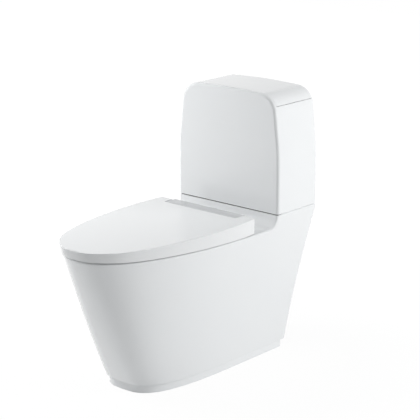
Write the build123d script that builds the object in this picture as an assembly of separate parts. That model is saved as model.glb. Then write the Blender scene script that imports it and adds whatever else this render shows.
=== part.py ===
from build123d import *

# A close-coupled toilet: a skirted china pan with a plinth at its back, a china cistern
# with a vaulted lid that stands on the plinth, and a slim seat whose cover wraps over
# the ring. Millimetres. X runs across, +Y towards the wall behind the toilet, +Z up.
# The origin lies on the floor under the middle of the whole.

from collections import namedtuple
from math import asin, atan2, cos, degrees, radians, sin
import os

# Overall layout, from the wall behind the cistern to the tip of the cover
CISTERN_DEPTH = 175.0
SEAT_SETBACK = 86.0  # from the cistern's front to the cover's rear edge
COVER_LENGTH = 520.0
LENGTH = CISTERN_DEPTH + SEAT_SETBACK + COVER_LENGTH
BACK = LENGTH / 2
CISTERN_FRONT = BACK - CISTERN_DEPTH
COVER_REAR = CISTERN_FRONT - SEAT_SETBACK
COVER_TIP = COVER_REAR - COVER_LENGTH
CENTRE = BACK - CISTERN_DEPTH / 2  # line of the inlet, the bolts and the fittings

# Heights of the pan
BAND_HEIGHT = 25.0
DECK = 387.0
RIM_RISE = 14.0  # the rim climbs this far from the deck to the nose
PLINTH = DECK + 36
PLINTH_DEPTH = 78.0  # of the wall that closes the plinth's back
DECK_FILLET = 28.0
PAN_EDGE = 5.0  # rounding of the plinth's and the rim's outer edges
MOUTH_EDGE = 6.0
CHINA = 12.0  # wall of the pan

# Plan of the pan where it meets its foot band, and at the rim
Outline = namedtuple("Outline", "rear rear_half widest half tip fullness")
FOOT = Outline(CISTERN_FRONT + 110, 131, CISTERN_FRONT - 60, 130, CISTERN_FRONT - 442, 3.2)
WIDTH = 364.0  # over the cistern, which the plinth and the seat follow
CISTERN_HALF = WIDTH / 2
RIM = Outline(BACK + 3, CISTERN_HALF - 3, COVER_REAR - 84, CISTERN_HALF - 5, COVER_TIP + 11, 2.35)
SKIRT_LEVELS = (0.31, 0.555, 0.8)  # sections between the band and the plinth, as shares of the deck
BAND_INSET = 8.0
FLARE = 0.95  # how the sides open upwards, 1 is straight
REAR_FLARE = 1.5
REAR_CORNER = 12.0

# Bowl: height as a share of the deck, centre in y, half width and half length of its sections
BOWL_REAR = CISTERN_FRONT - 166
BOWL_SECTIONS = (
    (0.15, BOWL_REAR - 75, 34.0, 40.0),
    (0.336, BOWL_REAR - 83, 52.0, 72.0),
    (0.517, BOWL_REAR - 95, 70.0, 105.0),
    (0.75, BOWL_REAR - 135, 100.0, 152.0),
    (0.88, BOWL_REAR - 168, 117.0, 175.0),
)
BOWL_MOUTH = (BOWL_REAR - 187, 125.0, 187.0)
MOUTH_LOW = DECK - 15  # the bowl's wall is upright from here to the rim
BOWL_WALL = 10.0

# Trap from the sump over the weir to the outlet spigot
TRAP_BORE = 38.0
TRAP_WALL = 10.0
TRAP_BEND = 50.0
SUMP_LEVEL = 0.238 * DECK
WEIR_LEVEL = 0.677 * DECK
OUTLET_LEVEL = 180.0
SPIGOT_RADIUS = 51.0
SPIGOT_LENGTH = 50.0
SPIGOT_END = BACK - 62

# Flush passage from the plinth to the bowl
INLET_BORE = 34.0
GASKET_RADIUS = 50.0
GASKET_SEAT = 18.0  # depth of the recess that holds the gasket
DUCT_LEVEL = DECK - 41
DUCT_BORE = 20.0

# Fixings through the pan
FLOOR_BOLT_SPREAD = 75.0
FLOOR_BOLT_HOLE = 5.5
FLOOR_BOLT_Y = FOOT.rear - 38
FOOT_PAD = 24.0  # half the length of the feet that the floor bolts pass through
FOOT_PAD_HEIGHT = 16.0
FOOT_PAD_INNER = 45.0
TANK_BOLT_SPREAD = 78.0
TANK_BOLT = 4.0
TANK_BOLT_HOLE = 5.5
TANK_SEAL = 12.0
TANK_WASHER = 11.0
TANK_NUT = 13.0  # across its flats
TANK_NUT_HEIGHT = 6.5
FILL_X = 57 - CISTERN_HALF
FILL_ACCESS = 24.0

# Seat
COVER_TOP_REAR = DECK + 45.6
COVER_TOP_TIP = DECK + 41.9
COVER_WALL = 4.0
COVER_GAP = 2.7  # shadow line between the cover and the rim
COVER_EDGE = 2.0
COVER_CORNER = 3.0
COVER_HEEL = 4.0  # cut at the lower rear corners, which swing past the deck
COVER = Outline(COVER_REAR, CISTERN_HALF - 11.5, COVER_REAR - 84, CISTERN_HALF - 4, COVER_TIP, 2.35)
COVER_TUCK = Outline(0, -0.5, 0, -1.5, 12, 0)
COVER_ROOT = DECK - 10  # level of the tucked-in outline, below the rim
NOTCH_HALF = COVER.rear_half - 40.5
NOTCH_DEPTH = 34.0
RING_GAP = 4.0
RING_TOP = DECK + 34
RING_TOP_TIP = DECK + 31.5
RING_UNDER = DECK + 13
RING_UNDER_TIP = DECK + 17.5
RING_HOLE_Y = BOWL_REAR - 204
RING_HOLE_HALF = 112.0
RING_HOLE_LENGTH = 158.0
RING_EDGE = 6.0
RING_CORNER = 10.0
RING_REACH = 33.0  # from the hinge axis to the ring's rear edge
BUFFER_RADIUS = 9.0
RING_BUFFERS = ((106.0, RING_HOLE_Y - 108), (120.0, RING_HOLE_Y + 184))
COVER_BUFFERS = ((88.0, RING_HOLE_Y - 136), (135.0, RING_HOLE_Y + 164))
SOFT_GAP = 0.3  # between a rubber foot and what it rests on

# Seat hinge, on one axis across the pan
HINGE_Y = COVER_REAR - 12
HINGE_Z = DECK + 32.5
PIN = 4.0
PIN_TIP = 2.6
FLAT = 2.7  # half the thickness across a pin's flats
RUNNING = 0.05  # radial clearance of a turning fit
BARREL = 10.0
COVER_LUG = 8.0
RING_LUG = 7.0
RING_LUG_X = (NOTCH_HALF + 4, NOTCH_HALF + 18)
COVER_LUG_X = (NOTCH_HALF + 19, NOTCH_HALF + 38)
HINGE_HALF = NOTCH_HALF - 2
DAMPER = 7.5
DAMPER_LENGTH = 42.0
SHAFT_DEPTH = 26.0  # of a shaft inside its damper
HOUSING_FRONT = 17.0
HOUSING_REAR = 14.0
SEAT_BOLT_SPREAD = 70.0
SEAT_BOLT = 3.0
SLEEVE = 7.0
SLEEVE_DEPTH = 24.0
BOLT_HEAD = 5.0
BOLT_HEAD_HEIGHT = 4.0
BOLT_SEAT = DECK + 8

# Cistern
PAD = 2.0  # rubber pads between the plinth and the cistern
CISTERN_BASE = PLINTH + PAD
HEIGHT = 759.5
CROWN = HEIGHT  # top of the lid's vault
SHOULDER = CROWN - 6.5
LEAN_START = CROWN - 169.5
SHOULDER_HALF = CISTERN_HALF - 19
SHOULDER_RADIUS = 56.0
LEAN_RADIUS = 600.0
LID_SEAM = CROWN - 36.5
LIP = 12.0  # front wall that stands up in front of the lid
TANK_WALL = 11.0
TANK_FLOOR = 12.0
TANK_EDGE = 8.0
SEAM = 1.2
LID_WALL = 9.0
LID_LIP = 8.0
LID_PAD = 3.5
CONE_HEIGHT = 7.0
PLATE = 2.0

# Flush valve and its motor drive
FLOOR_TOP = CISTERN_BASE + TANK_FLOOR
WASHER = 3.0
SPIGOT_OUT = 30.0
SPIGOT_BORE = 26.0
SPIGOT_DROP = 38.0  # below the top of the cistern's floor
NUT_HEIGHT = 12.0
NUT_RADIUS = 42.0
VALVE_FLANGE = 45.0
SEAT_LIP = 15.0  # valve seat above the cistern's floor
TOWER_HEIGHT = (LID_SEAM - FLOOR_TOP) / 2 - 10
TOWER_RADIUS = 42.0
PLUNGER_TUBE = 15.0
PLUNGER_TOP = LID_SEAM - 78
LIFT = 20.0
STEM = 3.0
COLLAR = 8.0
ARM_LENGTH = 70.0
ARM_Z = LID_SEAM - 33
ARM_TIP = 4.0
ARM_HALF = 9.0  # half the width of the lift arm
SHAFT = 3.0
SHAFT_REACH = 16.0  # of the shaft into the motor's case
CASE_WALL = 2.0
BRACKET = 3.0  # thickness of the bracket's plates
BRACKET_HALF = 22.0
BRACKET_SCREW = 1.5
BRACKET_SCREWS = ((-19.0, 12.0), (26.0, -17.0))
CASE_X = (50.0, CISTERN_HALF - 36)
CASE_Y = (CENTRE + 12, CENTRE + 50)
CASE_Z = (ARM_Z - 35, ARM_Z + 16)
CELL = 7.2
CELL_LENGTH = 50.0
SLACK = 0.5

# Fill valve
SHANK = 10.4
SHANK_END = CISTERN_BASE - 50
COLUMN = 11.0
COLUMN_TOP = LID_SEAM - 68
FLOAT_TRAVEL = 12.0
FLOAT_RADIUS = 25.0
FLOAT_HEIGHT = 60.0
FLOAT_REST = COLUMN_TOP - 85
HEAD_RADIUS = 17.0
CAP_LOW = LID_SEAM - 38
LEVER = 30.0
LEVER_Z = CAP_LOW + 15
LEVER_HALF = 4.0
LEVER_PIN = 2.0
EAR = 3.0  # thickness of the ears that hold the lever's pin
EAR_X = 7.0
ROD = 1.5
ROD_COLLAR = 3.5
ROD_COLLAR_HEIGHT = 3.0


def upright(radius, x, y, low, high):
    """Vertical cylinder."""
    return Pos(x, y, (low + high) / 2) * Cylinder(radius, high - low)


def crosswise(radius, left, right, y, z):
    """Cylinder along X."""
    return Pos((left + right) / 2, y, z) * Rot(0, 90, 0) * Cylinder(radius, right - left)


def lengthwise(radius, x, front, rear, z):
    """Cylinder along Y."""
    return Pos(x, (front + rear) / 2, z) * Rot(90, 0, 0) * Cylinder(radius, rear - front)


def block(x0, x1, y0, y1, z0, z1):
    """Box between its limits."""
    return Pos((x0 + x1) / 2, (y0 + y1) / 2, (z0 + z1) / 2) * Box(x1 - x0, y1 - y0, z1 - z0)


def side_prism(points, half_width):
    """Prism across X over a polygon of (y, z) points."""
    face = Plane.YZ * make_face(Polyline(*points, close=True))
    return extrude(face, amount=half_width, both=True)


def both_sides(shape):
    """A shape and its mirror image in the plane of symmetry."""
    return [shape, mirror(shape, Plane.YZ)]


def mix(first, second, share):
    """Outline a given share of the way from one outline to another."""
    return Outline(*[a + (b - a) * share for a, b in zip(first, second)])


def shrink(outline, amount):
    """Outline moved inwards by an amount."""
    return outline._replace(
        rear=outline.rear - amount,
        rear_half=outline.rear_half - amount,
        half=outline.half - amount,
        tip=outline.tip + amount,
    )


def plan(outline, z, corner=REAR_CORNER):
    """Face of an outline: straight back, rounded rear corners, superelliptic nose."""
    power = 2 / outline.fullness
    reach = outline.tip - outline.widest
    nose = [
        (outline.half * cos(radians(a)) ** power, outline.widest + reach * sin(radians(a)) ** power)
        for a in (0, 22, 42, 60, 76)
    ]
    start = (outline.rear_half, outline.rear)
    lean = (2 * (outline.half - outline.rear_half), outline.widest - outline.rear)
    side = Spline(start, *nose, (0, outline.tip), tangents=[lean, (-1, 0)])
    back = Line((-outline.rear_half, outline.rear), start)
    face = make_face([side, mirror(side, Plane.YZ), back])
    face = fillet(face.vertices().group_by(Axis.Y)[-1], corner)
    return Pos(0, 0, z) * face


def skirt_plan(z, wall=0.0, behind=0.0):
    """Section of the pan's skirt at a height, drawn in by a wall and run on behind."""
    share = (z - BAND_HEIGHT) / (DECK + RIM_RISE - BAND_HEIGHT)
    outline = mix(FOOT, RIM, max(share, 0) ** FLARE)
    rear = FOOT.rear + (RIM.rear - FOOT.rear) * max(share, 0) ** REAR_FLARE
    outline = shrink(outline._replace(rear=rear), wall)
    return plan(outline._replace(rear=outline.rear + behind), z)


def above_deck(offset=0.0):
    """Space above the rim and deck and in front of the plinth, grown by an offset."""
    front = CISTERN_FRONT + offset
    deck = DECK - offset
    slope_start = COVER_REAR - NOTCH_DEPTH
    radius = DECK_FILLET
    points = [
        (front, 2 * PLINTH),
        (front, deck),
        (slope_start, deck),
        (COVER_TIP, deck + RIM_RISE),
        (2 * COVER_TIP, deck + RIM_RISE * (COVER_TIP * 2 - slope_start) / (COVER_TIP - slope_start)),
        (2 * COVER_TIP, 2 * PLINTH),
    ]
    face = make_face(Polyline(*points, close=True))
    corner = [v for v in face.vertices() if abs(v.X - front) + abs(v.Y - deck) < 0.01]
    face = fillet(corner, radius)
    return extrude(Plane.YZ * face, amount=2 * CISTERN_HALF, both=True)


def pan_body():
    """Outside of the pan: band at the floor, flaring skirt, rim and plinth."""
    heights = (BAND_HEIGHT, *[share * DECK for share in SKIRT_LEVELS], PLINTH)
    skirt = loft([skirt_plan(z) for z in heights])
    skirt &= block(-CISTERN_HALF, CISTERN_HALF, 2 * COVER_TIP, BACK, 0, PLINTH)
    band = extrude(plan(shrink(FOOT, BAND_INSET), 0), amount=BAND_HEIGHT)
    body = skirt + band - above_deck()
    upper = [edge for edge in body.edges() if edge.center().Z > DECK - 2]
    return fillet([edge for edge in upper if not inner_crease(edge)], PAN_EDGE)


def inner_crease(edge):
    """Whether an edge runs straight across the pan between its deck, fillet and plinth front."""
    extent = edge.bounding_box()
    return extent.size.X > CISTERN_HALF and extent.size.Y < 1 and extent.max.Z < PLINTH - 1


def pan_hollow():
    """Space inside the skirt, open at the floor and at the back below the plinth."""
    heights = (BAND_HEIGHT, *[share * DECK for share in SKIRT_LEVELS], PLINTH - CHINA)
    room = loft([skirt_plan(z, CHINA, behind=40) for z in heights])
    foot = shrink(FOOT, BAND_INSET + CHINA)
    room += extrude(plan(foot._replace(rear=foot.rear + 60), -1), amount=BAND_HEIGHT + 1)
    low = PLINTH - PLINTH_DEPTH
    back_wall = block(-CISTERN_HALF, CISTERN_HALF, BACK - 2 * CHINA, 2 * BACK, low, PLINTH)
    return room - above_deck(CHINA) - back_wall


def bowl(grow=0.0):
    """Bowl as a loft of ellipses under an upright mouth, as drawn or grown by a wall."""
    faces = [
        Pos(0, y, share * DECK - grow) * Ellipse(half + grow, length + grow)
        for share, y, half, length in BOWL_SECTIONS
    ]
    y, half, length = BOWL_MOUTH
    mouth = Pos(0, y, MOUTH_LOW) * Ellipse(half + grow, length + grow)
    return loft([*faces, mouth]) + extrude(mouth, amount=DECK + RIM_RISE + 10 - MOUTH_LOW)


def is_mouth(edge):
    """Whether an edge runs round the bowl's mouth."""
    extent = edge.bounding_box()
    return extent.max.X < 1.05 * BOWL_MOUTH[1] and extent.size.Y > BOWL_MOUTH[2] and extent.min.Z > MOUTH_LOW


def trap(radius):
    """Round passage from the sump up over the weir and back to the outlet."""
    start = BOWL_REAR - 74
    route = FilletPolyline(
        (0, start, SUMP_LEVEL),
        (0, start + 75, SUMP_LEVEL),
        (0, start + 145, WEIR_LEVEL),
        (0, start + 220, OUTLET_LEVEL),
        (0, SPIGOT_END, OUTLET_LEVEL),
        radius=TRAP_BEND,
    )
    section = Plane(origin=route @ 0, z_dir=route % 0) * Circle(radius)
    return sweep(section, path=route)


def flush_duct():
    """China round the inlet under the cistern and along the passage to the bowl."""
    boss = upright(GASKET_RADIUS + 2 + CHINA, 0, CENTRE, DUCT_LEVEL - DUCT_BORE - CHINA, PLINTH - 1)
    run = lengthwise(DUCT_BORE + BOWL_WALL, 0, BOWL_REAR, CENTRE, DUCT_LEVEL)
    return boss + run


def flush_passage():
    """Recess for the gasket, drop below it and the run that opens into the bowl."""
    recess = upright(GASKET_RADIUS + 1, 0, CENTRE, PLINTH - GASKET_SEAT, PLINTH + 1)
    drop = upright(INLET_BORE, 0, CENTRE, DUCT_LEVEL - DUCT_BORE / 2, PLINTH)
    run = lengthwise(DUCT_BORE, 0, BOWL_REAR - 20, CENTRE, DUCT_LEVEL)
    return recess + drop + run


def pan():
    """The china pan in one piece."""
    body = pan_body()
    rear = FOOT.rear - BAND_INSET
    foot = block(FOOT_PAD_INNER, CISTERN_HALF, FLOOR_BOLT_Y - FOOT_PAD, rear, 0, FOOT_PAD_HEIGHT)
    collar = lengthwise(SPIGOT_RADIUS, 0, SPIGOT_END - SPIGOT_LENGTH, SPIGOT_END, OUTLET_LEVEL)
    inner = bowl(BOWL_WALL) + trap(TRAP_BORE + TRAP_WALL) + collar + flush_duct() + both_sides(foot)
    body -= bowl()
    mouth = [edge for edge in body.edges() if is_mouth(edge)]
    body = fillet(mouth, MOUTH_EDGE) - (pan_hollow() - inner) - trap(TRAP_BORE) - flush_passage()
    body += collar - lengthwise(TRAP_BORE, 0, SPIGOT_END - 2 * SPIGOT_LENGTH, BACK, OUTLET_LEVEL)
    holes = both_sides(upright(FLOOR_BOLT_HOLE, FLOOR_BOLT_SPREAD, FLOOR_BOLT_Y, -1, FOOT_PAD_HEIGHT + 1))
    holes += both_sides(upright(TANK_BOLT_HOLE, TANK_BOLT_SPREAD, CENTRE, PLINTH - 30, PLINTH + 1))
    holes += both_sides(upright(SLEEVE + 0.3, SEAT_BOLT_SPREAD, HINGE_Y, DECK - 30, DECK + 1))
    holes.append(upright(FILL_ACCESS, FILL_X, CENTRE, PLINTH - 30, PLINTH + 1))
    return body - holes


def rim_line(offset=0.0):
    """Top of the deck and rim from back to front as (y, z) points, raised by an offset."""
    knee = COVER_REAR - NOTCH_DEPTH
    return [
        (COVER_REAR + 10, DECK + offset),
        (knee, DECK + offset),
        (COVER_TIP, DECK + RIM_RISE + offset),
    ]


def ring_under_line():
    """Underside of the ring from back to front."""
    return [(COVER_REAR, RING_UNDER), (COVER_TIP, RING_UNDER_TIP)]


def ring_top_line(offset=0.0):
    """Top of the ring from back to front, raised by an offset."""
    return [(COVER_REAR, RING_TOP + offset), (COVER_TIP, RING_TOP_TIP + offset)]


def cover_top_line(depth=0.0):
    """Top of the cover from back to front, or a surface below it."""
    return [(COVER_REAR + 10, COVER_TOP_REAR - depth), (COVER_TIP, COVER_TOP_TIP - depth)]


def between(lower, upper):
    """Space between two lines of the side view, right across the seat."""
    return side_prism(lower + upper[::-1], CISTERN_HALF)


def cover_foot():
    """Plan of the cover at its lower edge, tucked in towards the nose."""
    return Outline(*[a + b for a, b in zip(COVER, COVER_TUCK)])


def cover_block(wall=0.0):
    """Solid bounded by the cover's sides and its rounded top, drawn in by a wall."""
    top = COVER_TOP_TIP - wall
    sections = [plan(shrink(cover_foot(), wall), COVER_ROOT, COVER_CORNER)]
    for angle in (0, 30, 60, 90):
        inset = wall + COVER_EDGE * (1 - cos(radians(angle)))
        height = top - COVER_EDGE * (1 - sin(radians(angle)))
        sections.append(plan(shrink(COVER, inset), height, COVER_CORNER))
    tilt = degrees(atan2(COVER_TOP_REAR - COVER_TOP_TIP, COVER_LENGTH))
    swing = Pos(0, COVER_TIP, COVER_TOP_TIP) * Rot(tilt, 0, 0)
    return swing * Pos(0, -COVER_TIP, -COVER_TOP_TIP) * loft(sections, ruled=True)


def double_d(left, right, radius, flat):
    """Pin across X with two flats, which turns what it passes through."""
    low, high = HINGE_Z - flat, HINGE_Z + flat
    round_pin = crosswise(radius, left, right, HINGE_Y, HINGE_Z)
    return round_pin & block(left, right, HINGE_Y - radius, HINGE_Y + radius, low, high)


def seat_cover():
    """Slim cover that wraps over the ring, with a notch at the back for the hinge."""
    notch_front = COVER_REAR - NOTCH_DEPTH
    corner_cut = side_prism(
        [
            (COVER_REAR - COVER_HEEL, DECK),
            (COVER_REAR + 1, DECK),
            (COVER_REAR + 1, DECK + COVER_GAP + COVER_HEEL + 1),
            (COVER_REAR - COVER_HEEL, DECK + COVER_GAP),
        ],
        CISTERN_HALF,
    )
    outer = (cover_block() & between(rim_line(COVER_GAP), cover_top_line(-1))) - corner_cut
    room = cover_block(COVER_WALL) & between(rim_line(-1), cover_top_line(COVER_WALL - 1))
    ceiling = COVER_TOP_REAR - COVER_WALL - 0.5
    open_back = block(NOTCH_HALF, COVER_LUG_X[0], HINGE_Y - COVER_LUG, COVER_REAR + 1, DECK, ceiling)
    lip = block(-NOTCH_HALF, NOTCH_HALF, notch_front - COVER_WALL, notch_front, HINGE_Z - 8, COVER_TOP_REAR)
    lug = crosswise(COVER_LUG, *COVER_LUG_X, HINGE_Y, HINGE_Z)
    lug += block(*COVER_LUG_X, HINGE_Y - COVER_LUG, HINGE_Y + COVER_LUG, HINGE_Z, COVER_TOP_REAR)
    notch = block(-NOTCH_HALF, NOTCH_HALF, notch_front, COVER_REAR + 1, DECK, COVER_TOP_REAR + 1)
    inside = [lip, *both_sides(lug)]
    shell = outer - room - both_sides(open_back) + [piece & outer for piece in inside] - notch
    shell -= double_d(-COVER_LUG_X[1], -COVER_LUG_X[0], PIN + RUNNING, FLAT + RUNNING)
    return shell - crosswise(PIN_TIP + RUNNING, COVER_LUG_X[0], COVER_LUG_X[1] - 2, HINGE_Y, HINGE_Z)


def ring_rear():
    """Rear edge of the ring, clear of the turning cover."""
    return HINGE_Y - RING_REACH


def seat_ring():
    """Seat ring with two lugs that reach back to the hinge."""
    outline = shrink(mix(cover_foot(), COVER, 0.5), COVER_WALL + RING_GAP)
    outline = outline._replace(rear=ring_rear())
    hole = Pos(0, RING_HOLE_Y, DECK) * Ellipse(RING_HOLE_HALF, RING_HOLE_LENGTH)
    ring = extrude(plan(outline, DECK, RING_CORNER) - hole, amount=COVER_TOP_REAR - DECK)
    ring &= between(ring_under_line(), ring_top_line())
    ring = fillet(ring.faces().sort_by(Axis.Z)[-1].edges(), RING_EDGE)
    arm_low = HINGE_Z - RING_LUG
    arm = block(*RING_LUG_X, ring_rear() - 20, HINGE_Y, arm_low, RING_TOP - 1)
    arm += crosswise(RING_LUG, *RING_LUG_X, HINGE_Y, HINGE_Z)
    ring += both_sides(arm)
    ring -= double_d(*RING_LUG_X, PIN + RUNNING, FLAT + RUNNING)
    return ring - crosswise(PIN + RUNNING, -RING_LUG_X[1], -RING_LUG_X[0], HINGE_Y, HINGE_Z)


def ring_buffers():
    """Rubber feet that carry the ring on the rim."""
    spots = [upright(BUFFER_RADIUS, x, y, DECK, RING_TOP) for x, y in RING_BUFFERS]
    feet = [foot for spot in spots for foot in both_sides(spot)]
    gap = between(rim_line(SOFT_GAP), ring_under_line())
    return Part() + [foot & gap for foot in feet]


def cover_buffers():
    """Rubber feet that carry the cover on the ring."""
    spots = [upright(BUFFER_RADIUS - 2, x, y, DECK, COVER_TOP_REAR) for x, y in COVER_BUFFERS]
    feet = [foot for spot in spots for foot in both_sides(spot)]
    gap = between(ring_top_line(SOFT_GAP), cover_top_line(COVER_WALL))
    return Part() + [foot & gap for foot in feet]


def hinge_housing():
    """Bar bolted to the deck that holds a soft-close damper in each end."""
    foot = [
        (HINGE_Y - HOUSING_FRONT, DECK),
        (HINGE_Y + HOUSING_REAR, DECK),
        (HINGE_Y + BARREL, HINGE_Z),
        (HINGE_Y - BARREL, HINGE_Z),
    ]
    bar = side_prism(foot, HINGE_HALF) + crosswise(BARREL, -HINGE_HALF, HINGE_HALF, HINGE_Y, HINGE_Z)
    socket = crosswise(DAMPER, HINGE_HALF - DAMPER_LENGTH, HINGE_HALF, HINGE_Y, HINGE_Z)
    bolt = upright(SEAT_BOLT + 0.3, SEAT_BOLT_SPREAD, HINGE_Y, DECK - 1, HINGE_Z + BARREL)
    bolt += upright(BOLT_HEAD + 0.3, SEAT_BOLT_SPREAD, HINGE_Y, BOLT_SEAT, HINGE_Z + BARREL + 1)
    return bar - both_sides(socket) - both_sides(bolt)


def dampers():
    """Bodies of the two rotary dampers."""
    body = crosswise(DAMPER, HINGE_HALF - DAMPER_LENGTH, HINGE_HALF, HINGE_Y, HINGE_Z)
    body -= crosswise(PIN + RUNNING, HINGE_HALF - SHAFT_DEPTH, HINGE_HALF + 1, HINGE_Y, HINGE_Z)
    return Part() + both_sides(body)


def ring_shaft():
    """Right damper's shaft: it turns with the ring and its thin end carries the cover."""
    flats_end = RING_LUG_X[1] + 0.5
    shaft = crosswise(PIN, HINGE_HALF - SHAFT_DEPTH, RING_LUG_X[0] - 0.5, HINGE_Y, HINGE_Z)
    shaft += double_d(RING_LUG_X[0] - 0.5, flats_end, PIN, FLAT)
    return shaft + crosswise(PIN_TIP, flats_end, COVER_LUG_X[1] - 3, HINGE_Y, HINGE_Z)


def cover_shaft():
    """Left damper's shaft: it turns with the cover and carries the ring."""
    flats_start = -COVER_LUG_X[0] + 0.5
    shaft = crosswise(PIN, flats_start, -HINGE_HALF + SHAFT_DEPTH, HINGE_Y, HINGE_Z)
    return shaft + double_d(-COVER_LUG_X[1] + 3, flats_start, PIN, FLAT)


def seat_bolts():
    """Screws that hold the hinge bar on the deck."""
    screw = upright(SEAT_BOLT, SEAT_BOLT_SPREAD, HINGE_Y, DECK - SLEEVE_DEPTH - 8, BOLT_SEAT)
    screw += upright(BOLT_HEAD, SEAT_BOLT_SPREAD, HINGE_Y, BOLT_SEAT, BOLT_SEAT + BOLT_HEAD_HEIGHT)
    return Part() + both_sides(screw)


def seat_sleeves():
    """Rubber sleeves that swell in the deck's holes when the screws are tightened."""
    sleeve = upright(SLEEVE, SEAT_BOLT_SPREAD, HINGE_Y, DECK - SLEEVE_DEPTH, DECK)
    sleeve -= upright(SEAT_BOLT, SEAT_BOLT_SPREAD, HINGE_Y, DECK - SLEEVE_DEPTH - 1, DECK + 1)
    return Part() + both_sides(sleeve)


def seat_bolt_caps():
    """Caps that close the screw holes in the bar."""
    low = BOLT_SEAT + BOLT_HEAD_HEIGHT
    cap = upright(BOLT_HEAD + 0.2, SEAT_BOLT_SPREAD, HINGE_Y, low, HINGE_Z + BARREL)
    cap &= crosswise(BARREL, 0, HINGE_HALF, HINGE_Y, HINGE_Z)
    return Part() + both_sides(cap)


def tube(outer, inner, x, y, low, high):
    """Upright tube."""
    return upright(outer, x, y, low, high) - upright(inner, x, y, low - 1, high + 1)


def nut(across_flats, bore, x, y, low, high):
    """Hexagon nut."""
    hexagon = Pos(x, y, low) * RegularPolygon(across_flats / 2, 6, major_radius=False)
    return extrude(hexagon, amount=high - low) - upright(bore, x, y, low - 1, high + 1)


def arch(inset, low, front, rear):
    """Prism along Y with the cistern's arched front view, drawn in by an inset."""
    half = CISTERN_HALF - inset
    shoulder = (SHOULDER_HALF - inset, SHOULDER - inset)
    edges = [
        Line((-half, CISTERN_BASE), (half, CISTERN_BASE)),
        Line((half, CISTERN_BASE), (half, LEAN_START)),
        Line((half, LEAN_START), shoulder),
        ThreePointArc(shoulder, (0, CROWN - inset), (-shoulder[0], shoulder[1])),
        Line((-shoulder[0], shoulder[1]), (-half, LEAN_START)),
        Line((-half, LEAN_START), (-half, CISTERN_BASE)),
    ]
    face = make_face(edges)
    shoulders = face.vertices().filter_by_position(Axis.Y, SHOULDER - inset - 1, CROWN)
    face = fillet(shoulders, SHOULDER_RADIUS - inset)
    bends = face.vertices().filter_by_position(Axis.Y, LEAN_START - 1, LEAN_START + 1)
    face = fillet(bends, LEAN_RADIUS)
    prism = extrude(Pos(0, rear, 0) * (Plane.XZ * face), amount=rear - front)
    return prism & block(-CISTERN_HALF, CISTERN_HALF, front, rear, low, CROWN)


def cistern_block():
    """Outside of the cistern with its lid on, edges rounded."""
    outer = arch(0, CISTERN_BASE, CISTERN_FRONT, BACK)
    ends = outer.edges().filter_by_position(Axis.Y, CISTERN_FRONT - 0.01, CISTERN_FRONT + 0.01)
    ends += outer.edges().filter_by_position(Axis.Y, BACK - 0.01, BACK + 0.01)
    return fillet([e for e in ends if e.center().Z > CISTERN_BASE + 1], TANK_EDGE)


def cistern_tank():
    """China tank, with a front wall that stands up in front of the lid."""
    inside_front = CISTERN_FRONT + LIP
    under_lid = block(-CISTERN_HALF, CISTERN_HALF, inside_front, BACK + 1, LID_SEAM, CROWN + 1)
    room = arch(TANK_WALL, FLOOR_TOP, inside_front, BACK - TANK_WALL)
    room = fillet(room.edges().filter_by_position(Axis.Z, FLOOR_TOP - 0.01, FLOOR_TOP + 0.01), 8)
    holes = [
        upright(SPIGOT_OUT + SLACK, 0, CENTRE, CISTERN_BASE - 1, FLOOR_TOP + 1),
        upright(SHANK + SLACK, FILL_X, CENTRE, CISTERN_BASE - 1, FLOOR_TOP + 1),
        *both_sides(upright(TANK_BOLT_HOLE, TANK_BOLT_SPREAD, CENTRE, CISTERN_BASE - 1, FLOOR_TOP + 1)),
    ]
    return cistern_block() - under_lid - room - holes


def cistern_lid():
    """Vaulted china lid with a locating lip inside the tank's mouth."""
    low = LID_SEAM + SEAM
    front = CISTERN_FRONT + LIP + SEAM / 2
    zone = block(-CISTERN_HALF, CISTERN_HALF, front, BACK + 1, low, CROWN + 1)
    shell = (cistern_block() & zone) - arch(LID_WALL, low - 30, front + LID_WALL, BACK - LID_WALL)
    play = TANK_WALL + 2
    lip_front = front + LID_WALL - 1
    lip = arch(play, LID_SEAM - LID_LIP, lip_front, BACK - play)
    web = arch(LID_WALL - 1, low, lip_front, BACK - LID_WALL + 1)
    open_middle = arch(play + 6, LID_SEAM - LID_LIP - 1, front + play + 6, BACK - play - 6)
    band = block(-CISTERN_HALF, CISTERN_HALF, front, BACK, LID_SEAM - LID_LIP, LID_SEAM + LID_LIP)
    return shell + ((lip + web) & band) - open_middle


def lid_pads():
    """Soft pads under the lid's side walls."""
    share = (LID_SEAM - LEAN_START) / (SHOULDER - LEAN_START)
    x = CISTERN_HALF - (CISTERN_HALF - SHOULDER_HALF) * share - LID_WALL / 2
    places = (CISTERN_FRONT + 45, BACK - 35)
    pads = [upright(LID_PAD, x, y, LID_SEAM, LID_SEAM + SEAM) for y in places]
    return Part() + [piece for pad in pads for piece in both_sides(pad)]


def cistern_pads():
    """Rubber pads that level the cistern on the plinth."""
    x = CISTERN_HALF - 32
    spots = [(x, CISTERN_FRONT + 24), (x, BACK - 24)]
    pads = [block(x - 12, x + 12, y - 7, y + 7, PLINTH, CISTERN_BASE) for x, y in spots]
    return Part() + [piece for pad in pads for piece in both_sides(pad)]


def cistern_gasket():
    """Sponge ring round the back nut, squeezed between the cistern and the plinth."""
    seat = PLINTH - GASKET_SEAT
    ring = tube(GASKET_RADIUS, NUT_RADIUS + 1, 0, CENTRE, seat, CISTERN_BASE)
    return ring + tube(GASKET_RADIUS, INLET_BORE, 0, CENTRE, seat, CISTERN_BASE - NUT_HEIGHT - 1)


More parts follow.
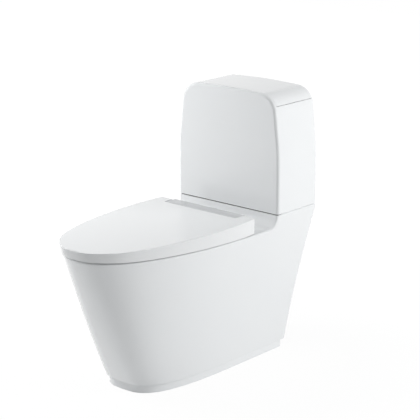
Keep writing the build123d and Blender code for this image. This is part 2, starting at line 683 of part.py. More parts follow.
def tank_bolts():
    """Bolts that clamp the cistern to the plinth."""
    seat = FLOOR_TOP + CONE_HEIGHT + PLATE
    bolt = upright(TANK_BOLT, TANK_BOLT_SPREAD, CENTRE, PLINTH - CHINA - 22, seat)
    head = Pos(TANK_BOLT_SPREAD, CENTRE, seat) * RegularPolygon(TANK_NUT / 2, 6, major_radius=False)
    return Part() + both_sides(bolt + extrude(head, amount=5.5))


def tank_bolt_seals():
    """Rubber washers under the bolt heads inside the cistern."""
    high = FLOOR_TOP + CONE_HEIGHT
    return Part() + both_sides(
        tube(TANK_SEAL, TANK_BOLT + 0.1, TANK_BOLT_SPREAD, CENTRE, FLOOR_TOP, high)
    )


def tank_bolt_washers():
    """Steel washers: one under each head and one under the plinth."""
    top = FLOOR_TOP + CONE_HEIGHT
    under = PLINTH - CHINA
    upper = tube(TANK_WASHER, TANK_BOLT + 0.2, TANK_BOLT_SPREAD, CENTRE, top, top + PLATE)
    lower = tube(TANK_WASHER, TANK_BOLT + 0.2, TANK_BOLT_SPREAD, CENTRE, under - PLATE, under)
    return Part() + both_sides(upper) + both_sides(lower)


def tank_bolt_nuts():
    """Nuts under the plinth."""
    top = PLINTH - CHINA - PLATE
    one = nut(TANK_NUT, TANK_BOLT, TANK_BOLT_SPREAD, CENTRE, top - TANK_NUT_HEIGHT, top)
    return Part() + both_sides(one)


def valve_body():
    """Flush valve: spigot through the floor, seat, four columns and a guide on top."""
    flange_low = FLOOR_TOP + WASHER
    top = FLOOR_TOP + TOWER_HEIGHT
    body = upright(SPIGOT_OUT, 0, CENTRE, FLOOR_TOP - SPIGOT_DROP, flange_low)
    body += upright(VALVE_FLANGE, 0, CENTRE, flange_low, flange_low + 6)
    body += upright(SPIGOT_OUT + 1, 0, CENTRE, flange_low, FLOOR_TOP + SEAT_LIP)
    body -= upright(SPIGOT_BORE, 0, CENTRE, FLOOR_TOP - SPIGOT_DROP - 1, FLOOR_TOP + SEAT_LIP + 1)
    column = upright(3.5, TOWER_RADIUS - 5, 0, flange_low + 3, top - 1)
    body += [Pos(0, CENTRE, 0) * Rot(0, 0, 45 + 90 * turn) * column for turn in range(4)]
    body += tube(TOWER_RADIUS, PLUNGER_TUBE + SLACK, 0, CENTRE, top - 6, top)
    return body - bracket_screw_places(BRACKET_SCREW, top - 5, top + 1)


def valve_washer():
    """Rubber washer under the valve's flange."""
    return tube(VALVE_FLANGE - 1, SPIGOT_OUT + SLACK, 0, CENTRE, FLOOR_TOP, FLOOR_TOP + WASHER)


def valve_nut():
    """Back nut under the cistern's floor, with grip lugs."""
    ring = tube(NUT_RADIUS - 4, SPIGOT_OUT, 0, CENTRE, CISTERN_BASE - NUT_HEIGHT, CISTERN_BASE)
    lug = block(NUT_RADIUS - 6, NUT_RADIUS - 1, -5, 5, CISTERN_BASE - NUT_HEIGHT, CISTERN_BASE)
    return ring + [Pos(0, CENTRE, 0) * Rot(0, 0, 60 * turn) * lug for turn in range(6)]


def plunger():
    """Overflow tube with the valve disc at its foot and the lifting stem on top."""
    disc = FLOOR_TOP + SEAT_LIP + WASHER
    collar = ARM_Z - LIFT / 2 + ARM_TIP + SLACK
    body = upright(PLUNGER_TUBE, 0, CENTRE, disc, PLUNGER_TOP)
    body += upright(SPIGOT_OUT + 3, 0, CENTRE, disc, disc + 4)
    body -= upright(PLUNGER_TUBE - 2, 0, CENTRE, disc - 1, PLUNGER_TOP + 1)
    bridge = block(-PLUNGER_TUBE + 1, PLUNGER_TUBE - 1, CENTRE - 2, CENTRE + 2, PLUNGER_TOP - 8, PLUNGER_TOP)
    body += bridge + upright(STEM, 0, CENTRE, PLUNGER_TOP - 4, collar)
    return body + upright(COLLAR, 0, CENTRE, collar, collar + 4)


def valve_seal():
    """Rubber ring under the valve disc."""
    seat = FLOOR_TOP + SEAT_LIP
    return tube(SPIGOT_OUT + 3, SPIGOT_BORE - 2, 0, CENTRE, seat, seat + WASHER)


def arm_swing():
    """Half of the lift arm's travel in degrees."""
    return degrees(asin(LIFT / 2 / ARM_LENGTH))


def lift_arm():
    """Forked arm that lifts the plunger by its collar."""
    hub = lengthwise(9, 0, -ARM_HALF, ARM_HALF, 0)
    tip = lengthwise(ARM_TIP, -ARM_LENGTH, -ARM_HALF, ARM_HALF, 0)
    upper = [(0, 8.5), (14 - ARM_LENGTH, 3), (-ARM_LENGTH, 2.5)]
    lower = [(x, -z) for x, z in upper[::-1]]
    beam = Plane.XZ * make_face(Polyline(*upper, *lower, close=True))
    arm = hub + tip + extrude(beam, amount=ARM_HALF, both=True)
    arm -= block(-ARM_LENGTH - 10, -ARM_LENGTH + 16, -STEM - 1, STEM + 1, -20, 20)
    arm -= lengthwise(SHAFT, 0, -ARM_HALF - 1, ARM_HALF + 1, 0)
    return Pos(ARM_LENGTH, CENTRE, ARM_Z) * Rot(0, -arm_swing(), 0) * arm


def drive_shaft():
    """Output shaft of the gear motor."""
    return lengthwise(SHAFT, ARM_LENGTH, CENTRE - ARM_HALF, CASE_Y[0] + SHAFT_REACH, ARM_Z)


def inside_case(wall, low, high):
    """Box inside the motor drive's case, a wall away from its sides."""
    sides = (CASE_X[0] + wall, CASE_X[1] - wall, CASE_Y[0] + wall, CASE_Y[1] - wall)
    return block(*sides, low, high)


def drive_case():
    """Open-topped case of the motor drive."""
    case = block(*CASE_X, *CASE_Y, *CASE_Z)
    case -= inside_case(CASE_WALL, CASE_Z[0] + CASE_WALL, CASE_Z[1] + 1)
    return case - lengthwise(SHAFT + 0.3, ARM_LENGTH, CASE_Y[0] - 1, CASE_Y[0] + 3, ARM_Z)


def drive_cover():
    """Cover of the drive's case, with a rim that drops inside it."""
    top = CASE_Z[1]
    rim = inside_case(CASE_WALL, top - 3, top) - inside_case(2 * CASE_WALL, top - 4, top)
    return block(*CASE_X, *CASE_Y, top, top + 3) + rim


def gear_motor():
    """Gearbox with its motor below."""
    front, rear = CASE_Y[0] + CASE_WALL, CASE_Y[1] - 2 * CASE_WALL
    low = ARM_Z - 12
    box = block(ARM_LENGTH - 14, ARM_LENGTH + 16, front, rear, low, CASE_Z[1] - 4)
    motor = upright(9, ARM_LENGTH + 2, (front + rear) / 2, CASE_Z[0] + CASE_WALL, low)
    return box + motor - lengthwise(SHAFT + RUNNING, ARM_LENGTH, front - 1, CASE_Y[0] + SHAFT_REACH, ARM_Z)


def battery_pack():
    """Four round cells in two layers."""
    right = CASE_X[1] - 3
    middle = (CASE_Y[0] + CASE_Y[1]) / 2
    low = CASE_Z[0] + CASE_WALL + CELL
    cells = [
        crosswise(CELL, right - CELL_LENGTH, right, middle + side * CELL, low + layer * 2 * CELL)
        for side in (-1, 1)
        for layer in (0, 1)
    ]
    return Part() + cells


def drive_bracket():
    """Bracket on top of the flush valve that carries the motor drive."""
    foot = FLOOR_TOP + TOWER_HEIGHT
    shelf = CASE_Z[0]
    riser = CASE_X[0] + 7
    front, rear = CENTRE - BRACKET_HALF, CENTRE + BRACKET_HALF
    plate = block(-BRACKET_HALF - 2, riser, front, rear, foot, foot + BRACKET)
    plate -= upright(PLUNGER_TUBE + SLACK, 0, CENTRE, foot - 1, foot + BRACKET + 1)
    plate += block(riser - BRACKET, riser, front, CASE_Y[1], foot, shelf)
    plate += block(riser - BRACKET, CASE_X[1] - 6, *CASE_Y, shelf - BRACKET, shelf)
    return plate - bracket_screw_places(BRACKET_SCREW + 0.1, foot - 1, foot + BRACKET + 1)


def bracket_screw_places(radius, low, high):
    """Two upright cylinders where the bracket is screwed down."""
    return [upright(radius, x, CENTRE + y, low, high) for x, y in BRACKET_SCREWS]


def bracket_screws():
    """Screws that hold the bracket on the flush valve."""
    seat = FLOOR_TOP + TOWER_HEIGHT + BRACKET
    shanks = bracket_screw_places(BRACKET_SCREW, seat - BRACKET - 5, seat)
    heads = bracket_screw_places(2 * BRACKET_SCREW, seat, seat + 2)
    return Part() + [shank + head for shank, head in zip(shanks, heads)]


def fill_valve():
    """Fill valve: threaded shank through the floor, flange, column and head."""
    flange = FLOOR_TOP + WASHER
    body = upright(SHANK, FILL_X, CENTRE, SHANK_END, flange)
    body += upright(18, FILL_X, CENTRE, flange, flange + 5)
    body += upright(COLUMN, FILL_X, CENTRE, flange, COLUMN_TOP)
    body += upright(COLUMN + 2, FILL_X, CENTRE, FLOAT_REST - 6, FLOAT_REST)
    body += upright(HEAD_RADIUS, FILL_X, CENTRE, COLUMN_TOP, CAP_LOW)
    return body - upright(5.5, FILL_X, CENTRE, SHANK_END - 1, COLUMN_TOP + 5)


def fill_valve_washer():
    """Rubber washer under the fill valve's flange."""
    return tube(17, SHANK + 0.1, FILL_X, CENTRE, FLOOR_TOP, FLOOR_TOP + WASHER)


def fill_valve_nut():
    """Nut that clamps the fill valve to the cistern's floor."""
    return nut(30, SHANK, FILL_X, CENTRE, CISTERN_BASE - NUT_HEIGHT, CISTERN_BASE)


def lever_pivot():
    """Pivot of the float lever in y."""
    return CENTRE + LEVER - 21


def fill_valve_cap():
    """Cap of the fill valve with two ears for the lever's pin."""
    cap = upright(HEAD_RADIUS, FILL_X, CENTRE, CAP_LOW, CAP_LOW + 7)
    pivot = lever_pivot()
    for side in (-1, 1):
        x = FILL_X + side * EAR_X
        sides = (x - EAR / 2, x + EAR / 2)
        ear = block(*sides, pivot - LEVER_HALF, pivot + LEVER_HALF, CAP_LOW + 6, LEVER_Z)
        ear += crosswise(LEVER_HALF, *sides, pivot, LEVER_Z)
        cap += ear - crosswise(LEVER_PIN, x - EAR, x + EAR, pivot, LEVER_Z)
    return cap


def lever_pin():
    """Pin that the float lever turns on."""
    reach = EAR_X + EAR / 2
    return crosswise(LEVER_PIN, FILL_X - reach, FILL_X + reach, lever_pivot(), LEVER_Z)


def float_lever():
    """Lever that the float lifts to shut the valve."""
    swing = degrees(asin(FLOAT_TRAVEL / 2 / LEVER))
    half = LEVER_HALF
    lever = block(-half, half, -LEVER, 0, -half / 2, half / 2)
    lever += crosswise(half, -half, half, 0, 0) + crosswise(2.5, -half, half, -LEVER, 0)
    lever -= crosswise(LEVER_PIN + RUNNING, -half - 1, half + 1, 0, 0)
    lever -= upright(ROD + 1, 0, -LEVER, -half, half)
    return Pos(FILL_X, lever_pivot(), LEVER_Z) * Rot(swing, 0, 0) * lever


def float_cup():
    """Float that rides up and down the column."""
    return tube(FLOAT_RADIUS, COLUMN + 0.4, FILL_X, CENTRE, FLOAT_REST, FLOAT_REST + FLOAT_HEIGHT)


def float_rod():
    """Rod from the float to the lever, with a collar on each side of the lever."""
    y = lever_pivot() - LEVER
    tip = LEVER_Z - FLOAT_TRAVEL / 2
    near = 2.5 + SLACK
    far = near + ROD_COLLAR_HEIGHT
    rod = upright(ROD, FILL_X, y, FLOAT_REST + FLOAT_HEIGHT, tip + far + ROD)
    rod += upright(ROD_COLLAR, FILL_X, y, tip + near, tip + far)
    return rod + upright(ROD_COLLAR, FILL_X, y, tip - far, tip - near)


def write(name, shape):
    """Write one piece to its own file."""
    export_step(shape, f"parts/{name}.step")


PIECES = {
    "pan": pan,
    "seat_cover": seat_cover,
    "cover_buffers": cover_buffers,
    "cover_damper_shaft": cover_shaft,
    "seat_ring": seat_ring,
    "ring_buffers": ring_buffers,
    "ring_damper_shaft": ring_shaft,
    "hinge_housing": hinge_housing,
    "dampers": dampers,
    "seat_bolts": seat_bolts,
    "seat_bolt_sleeves": seat_sleeves,
    "seat_bolt_caps": seat_bolt_caps,
    "cistern_tank": cistern_tank,
    "cistern_lid": cistern_lid,
    "lid_pads": lid_pads,
    "cistern_pads": cistern_pads,
    "cistern_gasket": cistern_gasket,
    "tank_bolts": tank_bolts,
    "tank_bolt_seals": tank_bolt_seals,
    "tank_bolt_washers": tank_bolt_washers,
    "tank_bolt_nuts": tank_bolt_nuts,
    "flush_valve_body": valve_body,
    "flush_valve_washer": valve_washer,
    "flush_valve_nut": valve_nut,
    "overflow_plunger": plunger,
    "plunger_seal": valve_seal,
    "lift_arm": lift_arm,
    "drive_shaft": drive_shaft,
    "drive_case": drive_case,
    "drive_cover": drive_cover,
    "gear_motor": gear_motor,
    "battery_pack": battery_pack,
    "drive_bracket": drive_bracket,
    "bracket_screws": bracket_screws,
    "fill_valve_body": fill_valve,
    "fill_valve_washer": fill_valve_washer,
    "fill_valve_nut": fill_valve_nut,
    "fill_valve_cap": fill_valve_cap,
    "lever_pin": lever_pin,
    "float_lever": float_lever,
    "float_cup": float_cup,
    "float_rod": float_rod,
}

os.makedirs("parts", exist_ok=True)
for name, make in PIECES.items():
    write(name, make())
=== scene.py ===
import math

import bpy
import numpy as np
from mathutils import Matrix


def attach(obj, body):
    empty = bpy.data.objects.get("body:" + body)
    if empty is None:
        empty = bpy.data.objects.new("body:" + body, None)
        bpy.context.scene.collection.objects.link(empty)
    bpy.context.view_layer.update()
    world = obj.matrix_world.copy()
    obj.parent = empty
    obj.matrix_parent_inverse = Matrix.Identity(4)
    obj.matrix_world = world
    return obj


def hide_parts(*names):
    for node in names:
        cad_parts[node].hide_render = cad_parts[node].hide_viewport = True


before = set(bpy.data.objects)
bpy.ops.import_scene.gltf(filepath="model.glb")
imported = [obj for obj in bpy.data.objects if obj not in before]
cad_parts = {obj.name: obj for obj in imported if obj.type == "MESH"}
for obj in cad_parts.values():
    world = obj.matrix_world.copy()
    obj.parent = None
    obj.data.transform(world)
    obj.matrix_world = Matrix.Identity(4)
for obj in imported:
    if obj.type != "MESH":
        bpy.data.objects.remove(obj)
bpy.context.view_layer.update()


# The view: a long lens at standing height, to the right of the toilet's front.
# The camera's place and lens were worked out from the edges of the cistern and seat.

AZIMUTH, ELEVATION = 40.869, 15.789  # degrees
LENS, SENSOR = 127.97, 36.0  # millimetres
VIEWPOINT = (2.6178, -2.8843, 1.5534)
FARTHEST = 50.0

camera = bpy.data.objects.new("camera", bpy.data.cameras.new("camera"))
camera.data.lens = LENS
camera.data.sensor_width = SENSOR
camera.data.clip_end = FARTHEST
camera.location = VIEWPOINT
camera.rotation_euler = (math.radians(90 - ELEVATION), 0, math.radians(AZIMUTH))
bpy.context.scene.collection.objects.link(camera)
bpy.context.scene.camera = camera
bpy.context.scene.view_settings.view_transform = "Standard"


# The room: white all round for the camera, in the glaze and through clear parts, and a
# dimmer, slightly cool daylight for everything that the walls light.

WHITE = (1, 1, 1, 1)
WALL_LIGHT = (0.305, 0.312, 0.316, 1)


def worked_out(tree, operation, *terms):
    """Result of one maths node; each term is another node's output or a plain number."""
    node = tree.nodes.new("ShaderNodeMath")
    node.operation = operation
    for socket, term in zip(node.inputs, terms):
        if isinstance(term, bpy.types.NodeSocket):
            tree.links.new(term, socket)
        else:
            socket.default_value = term
    return node.outputs[0]


def blended(tree, share, first, second):
    """Mix of two shaders: first * (1 - share) + second * share."""
    node = tree.nodes.new("ShaderNodeMixShader")
    for socket, source in zip(node.inputs, (share, first, second)):
        tree.links.new(source, socket)
    return node.outputs[0]


def seen_directly(tree):
    """1 for what the camera, a mirror or clear glass shows, and 0 for lighting."""
    path = tree.nodes.new("ShaderNodeLightPath").outputs
    mirrored = worked_out(tree, "MAXIMUM", path["Is Camera Ray"], path["Is Glossy Ray"])
    return worked_out(tree, "MAXIMUM", mirrored, path["Is Transmission Ray"])


world = bpy.data.worlds.new("room")
world.use_nodes = True
room = world.node_tree
backdrop = room.nodes["Background"]
backdrop.inputs["Color"].default_value = WHITE
daylight = room.nodes.new("ShaderNodeBackground")
daylight.inputs["Color"].default_value = WALL_LIGHT
walls = blended(room, seen_directly(room), daylight.outputs[0], backdrop.outputs[0])
room.links.new(walls, room.nodes["World Output"].inputs["Surface"])
bpy.context.scene.world = world


# The floor: a pale matt sheet that keeps a trace of the toilet's shadow and fades to
# plain white away from it, so that its edge doesn't show.

FLOOR_REACH = 6.0
FLOOR_GREY = (0.8, 0.8, 0.8, 1)
FLOOR_ROUGHNESS = 0.9
SHEET_SHARE = 0.93  # of plain white in what is seen; the rest takes the shadow
FADE_FROM, FADE_TO = 0.5, 1.6  # metres from the middle of the toilet's foot
NEAR_GLOW, FAR_GLOW = 1.02, 1.08

floor_mesh = bpy.data.meshes.new("floor")
floor_corners = FLOOR_REACH * np.array([(-1, -1, 0), (1, -1, 0), (1, 1, 0), (-1, 1, 0)])
floor_mesh.from_pydata(floor_corners.tolist(), [], [(0, 1, 2, 3)])
floor = bpy.data.objects.new("floor", floor_mesh)
bpy.context.scene.collection.objects.link(floor)

floor_paint = bpy.data.materials.new("floor")
floor_paint.use_nodes = True
sheet = floor_paint.node_tree
matt = sheet.nodes["Principled BSDF"]
matt.inputs["Base Color"].default_value = FLOOR_GREY
matt.inputs["Roughness"].default_value = FLOOR_ROUGHNESS
matt.inputs["Specular IOR Level"].default_value = 0.0
distance = sheet.nodes.new("ShaderNodeVectorMath")
distance.operation = "LENGTH"
sheet.links.new(sheet.nodes.new("ShaderNodeTexCoord").outputs["Object"], distance.inputs[0])
fade = sheet.nodes.new("ShaderNodeMapRange")
fade.inputs["From Min"].default_value = FADE_FROM
fade.inputs["From Max"].default_value = FADE_TO
fade.inputs["To Min"].default_value = NEAR_GLOW
fade.inputs["To Max"].default_value = FAR_GLOW
sheet.links.new(distance.outputs["Value"], fade.inputs["Value"])
glow = sheet.nodes.new("ShaderNodeEmission")
sheet.links.new(fade.outputs["Result"], glow.inputs["Strength"])
glow_share = worked_out(sheet, "MULTIPLY", seen_directly(sheet), SHEET_SHARE)
pale = blended(sheet, glow_share, matt.outputs[0], glow.outputs[0])
sheet.links.new(pale, sheet.nodes["Material Output"].inputs["Surface"])
floor_mesh.materials.append(floor_paint)


# The lamps: large soft boxes, the strongest to the right, two weaker ones to the left and
# a faint one above. The white walls alone show in the glaze, so the lamps leave no glint.


def soft_box(name, place, aim, size, power):
    """Square lamp turned to face its aim: tilted by atan2(flat distance, drop) from straight
    down, then turned to the aim's bearing."""
    lamp = bpy.data.lights.new(name, "AREA")
    lamp.shape = "SQUARE"
    lamp.size = size
    lamp.energy = power
    across, along, up = np.array(aim) - np.array(place)
    box = bpy.data.objects.new(name, lamp)
    bpy.context.scene.collection.objects.link(box)
    box.location = place
    tilt = math.atan2(math.hypot(across, along), -up)
    box.rotation_euler = (tilt, 0, math.atan2(-across, along))
    box.visible_glossy = False


soft_box("right box", (2.8, 1.5, 1.4), (0, 0.1, 0.4), size=2.0, power=67)
soft_box("near left box", (-1.3, -0.45, 1.2), (0, 0.15, 0.5), size=0.9, power=16.5)
soft_box("far left box", (-1.6, -1.2, 1.4), (0, 0.15, 0.5), size=1.2, power=10)
soft_box("top box", (0.2, 1.2, 2.6), (0, 0.1, 0.5), size=1.6, power=3)


# The china: pan, cistern and lid are one white glazed body, poured in plaster moulds and
# fired. The glaze is glass-smooth with a long faint ripple and hardly any change of tone.
# Where the cistern stands on the pan, a thin dark band of painted shade is put into the glaze's
# colour, so the joint shows as a dark line.

# Painted shade: the china's colour is darkened in a thin band at the joint, in place of the
# shade in the gap.
JOINT_HEIGHT = 0.424  # middle of the gap between plinth and cistern
JOINT_HALF = 0.0015
JOINT_SHADE_REACH = 0.235  # how far back the painted shade reaches
JOINT_PAINTED_SHADE = (0.16, 0.16, 0.155, 1)
NOISE_DETAIL = 3.0
MOTTLE_SCALE = 8.0  # patches of tone to the metre
WEAR_SCALE = 30.0  # patches of smoother and duller surface to the metre


def surface_group():
    """Node group that turns three noises in metres into a colour between two, a roughness of
    roughness + spread * noise, and a height."""
    group = bpy.data.node_groups.new("surface", "ShaderNodeTree")
    for name, kind, value in (
        ("Colour", "NodeSocketColor", WHITE),
        ("Other Colour", "NodeSocketColor", WHITE),
        ("Colour Scale", "NodeSocketFloat", MOTTLE_SCALE),
        ("Roughness", "NodeSocketFloat", 0.3),
        ("Roughness Spread", "NodeSocketFloat", 0.1),
        ("Roughness Scale", "NodeSocketFloat", WEAR_SCALE),
        ("Relief Scale", "NodeSocketFloat", 100.0),
    ):
        socket = group.interface.new_socket(name, in_out="INPUT", socket_type=kind)
        socket.default_value = value
    for name, kind in (("Colour", "Color"), ("Roughness", "Float"), ("Height", "Float")):
        group.interface.new_socket(name, in_out="OUTPUT", socket_type="NodeSocket" + kind)
    given = group.nodes.new("NodeGroupInput").outputs
    result = group.nodes.new("NodeGroupOutput").inputs
    place = group.nodes.new("ShaderNodeTexCoord").outputs["Object"]

    def noise(scale):
        """Noise over Object coordinates at one of the group's scales."""
        node = group.nodes.new("ShaderNodeTexNoise")
        node.inputs["Detail"].default_value = NOISE_DETAIL
        group.links.new(place, node.inputs["Vector"])
        group.links.new(given[scale], node.inputs["Scale"])
        return node.outputs["Fac"]

    tone = group.nodes.new("ShaderNodeMix")
    tone.data_type = "RGBA"
    group.links.new(noise("Colour Scale"), tone.inputs["Factor"])
    group.links.new(given["Colour"], tone.inputs["A"])
    group.links.new(given["Other Colour"], tone.inputs["B"])
    terms = noise("Roughness Scale"), given["Roughness Spread"], given["Roughness"]
    group.links.new(tone.outputs["Result"], result["Colour"])
    group.links.new(worked_out(group, "MULTIPLY_ADD", *terms), result["Roughness"])
    group.links.new(noise("Relief Scale"), result["Height"])
    return group


surface = surface_group()


def finish(name, colour, other, rough, spread, relief, height, **sockets):
    """Material with the surface group on its colour, roughness and bump: relief is the
    number of bumps to the metre and height their height in metres."""
    material = bpy.data.materials.new(name)
    material.use_nodes = True
    tree = material.node_tree
    shader = tree.nodes["Principled BSDF"]
    group = tree.nodes.new("ShaderNodeGroup")
    group.node_tree = surface
    for socket, value in (
        ("Colour", (*colour, 1)),
        ("Other Colour", (*other, 1)),
        ("Colour Scale", MOTTLE_SCALE),
        ("Roughness", rough),
        ("Roughness Spread", spread),
        ("Roughness Scale", WEAR_SCALE),
        ("Relief Scale", relief),
    ):
        group.inputs[socket].default_value = value
    bump = tree.nodes.new("ShaderNodeBump")
    bump.inputs["Strength"].default_value = 1.0
    bump.inputs["Distance"].default_value = height
    tree.links.new(group.outputs["Colour"], shader.inputs["Base Color"])
    tree.links.new(group.outputs["Roughness"], shader.inputs["Roughness"])
    tree.links.new(group.outputs["Height"], bump.inputs["Height"])
    tree.links.new(bump.outputs["Normal"], shader.inputs["Normal"])
    for socket, value in sockets.items():
        shader.inputs[socket.replace("_", " ")].default_value = value
    return material


def paint_joint_shade(material):
    """Painted shade in the joint: dark colour where |z - joint height| <= half the gap and y <
    the shade's reach.
    """
    tree = material.node_tree
    apart = tree.nodes.new("ShaderNodeSeparateXYZ")
    tree.links.new(tree.nodes.new("ShaderNodeTexCoord").outputs["Object"], apart.inputs[0])
    level = worked_out(tree, "COMPARE", apart.outputs["Z"], JOINT_HEIGHT, JOINT_HALF)
    front = worked_out(tree, "LESS_THAN", apart.outputs["Y"], JOINT_SHADE_REACH)
    base = tree.nodes["Principled BSDF"].inputs["Base Color"]
    tone = tree.nodes.new("ShaderNodeMix")
    tone.data_type = "RGBA"
    tone.inputs["B"].default_value = JOINT_PAINTED_SHADE
    tree.links.new(worked_out(tree, "MULTIPLY", level, front), tone.inputs["Factor"])
    tree.links.new(base.links[0].from_socket, tone.inputs["A"])
    tree.links.new(tone.outputs["Result"], base)


def paint(material, *nodes):
    """Give nodes of the frame a material."""
    for name in nodes:
        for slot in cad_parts[name].material_slots:
            slot.material = material


china = finish(
    "china", (0.86, 0.875, 0.885), (0.875, 0.885, 0.89),
    rough=0.06, spread=0.05, relief=22.0, height=0.00015, Coat_Weight=0.4,
)
# The joint's dark line is painted shade.
paint_joint_shade(china)
paint(china, "pan", "cistern_tank", "cistern_lid")


# The seat and its cover: moulded in a dense white thermoset, a little warmer and less
# glassy than the china.

seat_white = finish(
    "seat white", (0.84, 0.85, 0.855), (0.855, 0.865, 0.87),
    rough=0.16, spread=0.06, relief=60.0, height=0.00004,
)
paint(seat_white, "seat_ring", "seat_cover")


# The hinge bar: one moulding in satin grey plastic, screwed to the deck, its flat top just
# under the cover's on both sides of the notch. Two small plugs close its screw holes.

HINGE_Y, HINGE_Z = 0.1175, 0.4195
BAR_HALF = 0.1278  # half the bar's length
BAR_FOOT, BAR_TOP = -0.0325, 0.0124  # the section's heights, from the hinge's axis
FRONT_FOOT, REAR_FOOT = -0.017, 0.016  # its depth at the foot, from the axis
FRONT_TOP, REAR_TOP = -0.0185, 0.022  # and at the top
FOOT_ROUND, REAR_ROUND, FRONT_ROUND, END_ROUND = 0.0014, 0.0024, 0.0030, 0.0012
CORNER_STEPS, END_STEPS = 7, 6
PLUG_X, PLUG_RADIUS = 0.070, 0.0052
PLUG_SKIRT, PLUG_DOME, PLUG_STEP = 0.002, 0.0005, 0.0001
PLUG_RINGS, PLUG_POINTS = 7, 48
SHARP = math.radians(35)


def rounded(corners, radii, steps):
    """Convex outline and its normals: each corner turns into an arc tangent to both its
    sides, with its centre on the bisector, radius / sin(half the corner's angle) from it."""
    before = np.roll(corners, 1, axis=0) - corners
    after = np.roll(corners, -1, axis=0) - corners
    before /= np.linalg.norm(before, axis=1, keepdims=True)
    after /= np.linalg.norm(after, axis=1, keepdims=True)
    half = np.arccos(np.sum(before * after, axis=1)) / 2
    bisector = (before + after) / (2 * np.cos(half))[:, None]
    centres = corners + bisector * (radii / np.sin(half))[:, None]
    start = np.arctan2(before[:, 0], -before[:, 1])
    turn = np.linspace(0, 1, steps) * (np.pi - 2 * half)[:, None] + start[:, None]
    normals = np.stack([np.cos(turn), np.sin(turn)], axis=-1)
    outline = centres[:, None] + normals * radii[:, None, None]
    return outline.reshape(-1, 2), normals.reshape(-1, 2)


def bar_rings():
    """The bar's section carried along X, drawn in by a quarter circle at each end:
    inset = r (1 - sin a) at r (1 - cos a) from the end."""
    corners = np.array([
        [FRONT_FOOT, BAR_FOOT], [REAR_FOOT, BAR_FOOT], [REAR_TOP, BAR_TOP], [FRONT_TOP, BAR_TOP],
    ])
    radii = np.array([FOOT_ROUND, FOOT_ROUND, REAR_ROUND, FRONT_ROUND])
    outline, normals = rounded(corners, radii, CORNER_STEPS)
    quarter = np.linspace(0, np.pi / 2, END_STEPS)
    left = END_ROUND * (1 - np.cos(quarter)) - BAR_HALF
    drawn_in = END_ROUND * (1 - np.sin(quarter))
    along = np.concatenate([left, -left[::-1]])[:, None, None]
    inset = np.concatenate([drawn_in, drawn_in[::-1]])[:, None, None]
    section = outline[None] - normals[None] * inset
    across = np.broadcast_to(along, (*section.shape[:2], 1))
    return np.concatenate([across, section + [HINGE_Y, HINGE_Z]], axis=-1)


def plug_rings(side):
    """Low dome turned about an upright axis: rings of radius R cos t at height h sin t, over
    a short skirt of radius R."""
    lift = np.linspace(0, 0.48 * np.pi, PLUG_RINGS)
    radius = np.concatenate([[PLUG_RADIUS], PLUG_RADIUS * np.cos(lift)])[:, None]
    rise = np.concatenate([[-PLUG_SKIRT], PLUG_DOME * np.sin(lift)])[:, None]
    turn = np.linspace(0, 2 * np.pi, PLUG_POINTS, endpoint=False)
    x = side * PLUG_X + radius * np.cos(turn)
    y = HINGE_Y + radius * np.sin(turn)
    z = HINGE_Z + BAR_TOP + PLUG_STEP + rise
    return np.stack([x, y, np.broadcast_to(z, x.shape)], axis=-1)


def skin(name, shells):
    """Closed mesh over stacks of rings, each of shape (rings, points, 3): four-sided faces
    from ring to ring, and a fan round the middle of the first ring and of the last."""
    points, faces, first = [], [], 0
    for rings in shells:
        stack, around = rings.shape[:2]
        here = np.arange(around)
        there = (here + 1) % around
        low = (np.arange(stack - 1) * around)[:, None]
        high = low + around
        sides = np.stack([low + here, low + there, high + there, high + here], axis=-1)
        top = (stack - 1) * around
        middle = np.full(around, stack * around)
        bottom_fan = np.stack([middle, there, here], axis=-1)
        top_fan = np.stack([middle + 1, top + here, top + there], axis=-1)
        points += [rings.reshape(-1, 3), rings[[0, -1]].mean(axis=1)]
        for part in (sides.reshape(-1, 4), bottom_fan, top_fan):
            faces += (part + first).tolist()
        first += stack * around + 2
    mesh = bpy.data.meshes.new(name)
    mesh.from_pydata(np.vstack(points).tolist(), [], faces)
    piece = bpy.data.objects.new(name, mesh)
    bpy.context.scene.collection.objects.link(piece)
    return piece


bar_plastic = finish(
    "bar plastic", (0.56, 0.57, 0.58), (0.58, 0.59, 0.60),
    rough=0.32, spread=0.08, relief=900.0, height=0.00003,
)
for name, node, shells in (
    ("hinge_bar", "hinge_housing", [bar_rings()]),
    ("screw_plugs", "seat_bolt_caps", [plug_rings(-1), plug_rings(1)]),
):
    moulding = skin(name, shells)
    moulding.data.materials.append(bar_plastic)
    moulding.data.shade_smooth()
    moulding.data.set_sharp_from_angle(angle=SHARP)
    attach(moulding, "pan")
    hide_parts(node)


# The dampers: two dark barrels of filled plastic, pushed into the bar's ends, that slow the
# ring and the cover as they come down.

damper_plastic = finish(
    "damper plastic", (0.30, 0.31, 0.33), (0.33, 0.34, 0.36),
    rough=0.4, spread=0.1, relief=1200.0, height=0.00003,
)
paint(damper_plastic, "dampers")


# The rubber parts, pressed in heated moulds: pale soft feet under the seat, the cover and
# the lid, and black washers, gasket and pads.

pale_rubber = finish(
    "pale rubber", (0.62, 0.63, 0.63), (0.66, 0.66, 0.66),
    rough=0.55, spread=0.12, relief=700.0, height=0.00005,
)
paint(pale_rubber, "cover_buffers", "ring_buffers", "lid_pads")
black_rubber = finish(
    "black rubber", (0.02, 0.02, 0.021), (0.032, 0.031, 0.03),
    rough=0.6, spread=0.15, relief=900.0, height=0.0001,
)
paint(
    black_rubber,
    "seat_bolt_sleeves", "cistern_pads", "cistern_gasket", "tank_bolt_seals",
    "flush_valve_washer", "plunger_seal", "fill_valve_washer",
)


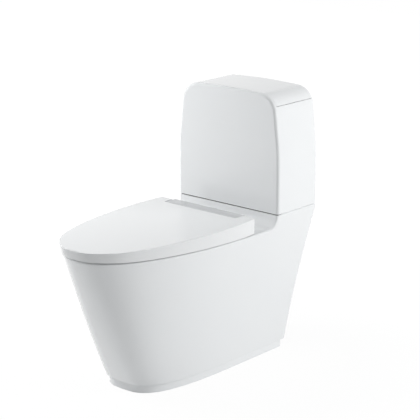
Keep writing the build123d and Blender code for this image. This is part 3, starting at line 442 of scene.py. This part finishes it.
# The metal parts: turned stainless screws, shafts, pin and rod, pressed washers, and the
# plain brass bolts and nuts that hold the cistern.

steel = finish(
    "steel", (0.56, 0.565, 0.57), (0.62, 0.62, 0.62),
    rough=0.22, spread=0.14, relief=1500.0, height=0.00002, Metallic=1.0,
)
paint(
    steel,
    "seat_bolts", "cover_damper_shaft", "ring_damper_shaft", "tank_bolt_washers",
    "drive_shaft", "bracket_screws", "lever_pin", "float_rod",
)
brass = finish(
    "brass", (0.62, 0.44, 0.17), (0.56, 0.38, 0.15),
    rough=0.26, spread=0.16, relief=900.0, height=0.00003, Metallic=1.0,
)
paint(brass, "tank_bolts", "tank_bolt_nuts")


# The valves inside the cistern: moulded in white plastic, with the moving parts in blue
# and grey, all matt from their moulds.

valve_white = finish(
    "valve white", (0.76, 0.77, 0.77), (0.70, 0.71, 0.71),
    rough=0.38, spread=0.1, relief=800.0, height=0.00004,
)
paint(valve_white, "flush_valve_body", "flush_valve_nut", "fill_valve_body", "fill_valve_nut")
valve_blue = finish(
    "valve blue", (0.05, 0.14, 0.36), (0.06, 0.17, 0.40),
    rough=0.36, spread=0.1, relief=800.0, height=0.00004,
)
paint(valve_blue, "overflow_plunger", "fill_valve_cap", "float_cup")
valve_grey = finish(
    "valve grey", (0.20, 0.21, 0.23), (0.24, 0.25, 0.27),
    rough=0.42, spread=0.1, relief=800.0, height=0.00004,
)
paint(valve_grey, "lift_arm", "drive_bracket", "gear_motor", "float_lever")


# The drive: a moulded light grey case and cover, screwed to its bracket, that keep the
# motor and four cells in dark shrunk sleeves dry.

drive_plastic = finish(
    "drive plastic", (0.58, 0.59, 0.60), (0.63, 0.64, 0.65),
    rough=0.45, spread=0.1, relief=1400.0, height=0.00005,
)
paint(drive_plastic, "drive_case", "drive_cover")
cell_sleeve = finish(
    "cell sleeve", (0.03, 0.035, 0.05), (0.05, 0.055, 0.07),
    rough=0.3, spread=0.1, relief=300.0, height=0.00003,
)
paint(cell_sleeve, "battery_pack")
